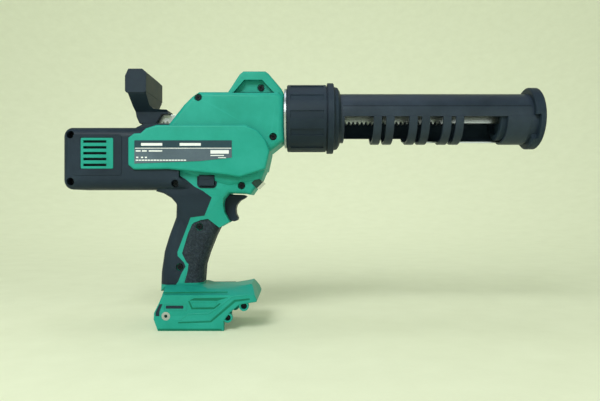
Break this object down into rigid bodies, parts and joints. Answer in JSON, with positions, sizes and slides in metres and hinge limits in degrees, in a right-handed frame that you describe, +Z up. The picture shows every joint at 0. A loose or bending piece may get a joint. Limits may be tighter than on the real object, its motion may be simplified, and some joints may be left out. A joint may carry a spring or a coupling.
{
  "type": "caulking gun",
  "caption": "Cordless caulking gun with a motor-driven rack, swivelling cartridge holder, screw collar, pull handle, pistol grip and slide battery foot.",
  "frame": {"origin": "on the axis of the cartridge holder and push rack, at the front face of the gear head where the mount ring starts", "axes": "+X along the holder to the muzzle, +Z up away from the grip, -Y the right-hand side"},
  "size_m": [0.507, 0.077, 0.2728],
  "materials": {
    "green_plastic": "moulded glass-filled nylon, fine spark-eroded texture",
    "black_plastic": "moulded glass-filled nylon, satin",
    "soft_grip": "overmoulded elastomer with a raised grip pattern",
    "label_film": null,
    "bright_steel": "zinc-plated, ground",
    "steel": "machined",
    "cast_aluminium": "die-cast",
    "brass": "turned",
    "clear_lens": "tinted clear moulding",
    "board": "circuit board"
  },
  "bodies": {
    "root": {"right_housing": "green_plastic", "left_housing": "green_plastic", "right_vent_plate": "green_plastic", "left_vent_plate": "green_plastic", "right_motor_cover": "black_plastic", "left_motor_cover": "black_plastic", "trigger_switch": "black_plastic", "terminal_holder": "black_plastic", "rear_rack_bush": "black_plastic", "front_rack_bush": "black_plastic", "right_grip_pad": "soft_grip", "left_grip_pad": "soft_grip", "right_label_plate": "label_film", "left_label_plate": "label_film", "mount_ring": "bright_steel", "case_screws": "steel", "output_bearings": "steel", "relay_bearings": "steel", "ring_gear": "steel", "carrier_bearing": "steel", "motor_can": "steel", "motor_bearings": "steel", "stator": "steel", "gear_case": "cast_aluminium", "gearbox_cover": "cast_aluminium", "front_bell": "cast_aluminium", "heat_sink": "cast_aluminium", "right_threaded_insert": "brass", "left_threaded_insert": "brass", "battery_terminals": "brass", "lamp_lens": "clear_lens", "control_board": "board"},
    "collar": {"collar": "black_plastic"},
    "holder": {"holder": "black_plastic", "front_cap": "black_plastic", "cap_washer": "bright_steel"},
    "rack": {"rack": "bright_steel", "piston": "black_plastic", "piston_screw": "steel", "pull_handle": "black_plastic", "handle_screw": "steel"},
    "output": {"rack_pinion": "steel", "output_gear": "steel", "output_shaft": "steel"},
    "relay": {"relay_pinion": "steel", "relay_shaft": "steel"},
    "bevel": {"bevel_gear": "steel"},
    "carrier": {"planet_carrier": "steel", "bevel_pinion": "steel"},
    "planet_1": {"planet_gear_1": "steel"},
    "planet_2": {"planet_gear_2": "steel"},
    "planet_3": {"planet_gear_3": "steel"},
    "rotor": {"rotor": "steel", "sun_gear": "steel", "cooling_fan": "black_plastic"},
    "trigger": {"trigger": "black_plastic"},
    "button": {"direction_button": "black_plastic"}
  },
  "joints": [
    {"name": "rack_slide", "type": "slide", "parent": "root", "child": "rack", "axis": [1, 0, 0], "range_m": [-0.195, 0]},
    {"name": "output_spin", "type": "hinge", "parent": "root", "child": "output", "pos_m": [-0.052, 0, -0.01586], "axis": [0, 1, 0], "range_deg": [-1067, 2]},
    {"name": "relay_spin", "type": "hinge", "parent": "root", "child": "relay", "pos_m": [-0.05983, 0, -0.0454], "axis": [0, 1, 0], "range_deg": [-2, 2757]},
    {"name": "rotor_spin", "type": "hinge", "parent": "root", "child": "rotor", "pos_m": [-0.18, 0, -0.0454], "axis": [1, 0, 0], "continuous": true},
    {"name": "carrier_spin", "type": "hinge", "parent": "root", "child": "carrier", "pos_m": [-0.1, 0, -0.0454], "axis": [1, 0, 0], "continuous": true},
    {"name": "planet_1_spin", "type": "hinge", "parent": "carrier", "child": "planet_1", "pos_m": [-0.107, 0, -0.0346], "axis": [1, 0, 0], "continuous": true},
    {"name": "planet_2_spin", "type": "hinge", "parent": "carrier", "child": "planet_2", "pos_m": [-0.107, -0.00935, -0.0508], "axis": [1, 0, 0], "continuous": true},
    {"name": "planet_3_spin", "type": "hinge", "parent": "carrier", "child": "planet_3", "pos_m": [-0.107, 0.00935, -0.0508], "axis": [1, 0, 0], "continuous": true},
    {"name": "bevel_spin", "type": "hinge", "parent": "root", "child": "bevel", "pos_m": [-0.05983, 0, -0.0454], "axis": [0, 1, 0], "continuous": true},
    {"name": "collar_turn", "type": "hinge", "parent": "root", "child": "collar", "pos_m": [0.02, 0, 0], "axis": [1, 0, 0], "range_deg": [0, 180]},
    {"name": "holder_swivel", "type": "hinge", "parent": "root", "child": "holder", "pos_m": [0.1, 0, 0], "axis": [1, 0, 0], "continuous": true},
    {"name": "trigger_pull", "type": "slide", "parent": "root", "child": "trigger", "axis": [-1, 0, 0], "range_m": [0, 0.006], "stiffness_N_per_m": 800, "springref_m": -0.003},
    {"name": "button_slide", "type": "slide", "parent": "root", "child": "button", "axis": [0, 1, 0], "range_m": [-0.003, 0.003]}
  ],
  "couplings": [
    {"joint": "output_spin", "follows": "rack_slide", "rad_per_m": 95.238},
    {"joint": "relay_spin", "follows": "rack_slide", "rad_per_m": -246.5},
    {"joint": "carrier_spin", "follows": "rotor_spin", "ratio": 0.22222},
    {"joint": "bevel_spin", "follows": "rotor_spin", "ratio": 0.074074},
    {"joint": "planet_1_spin", "follows": "rotor_spin", "ratio": -0.62222},
    {"joint": "planet_2_spin", "follows": "rotor_spin", "ratio": -0.62222},
    {"joint": "planet_3_spin", "follows": "rotor_spin", "ratio": -0.62222}
  ]
}
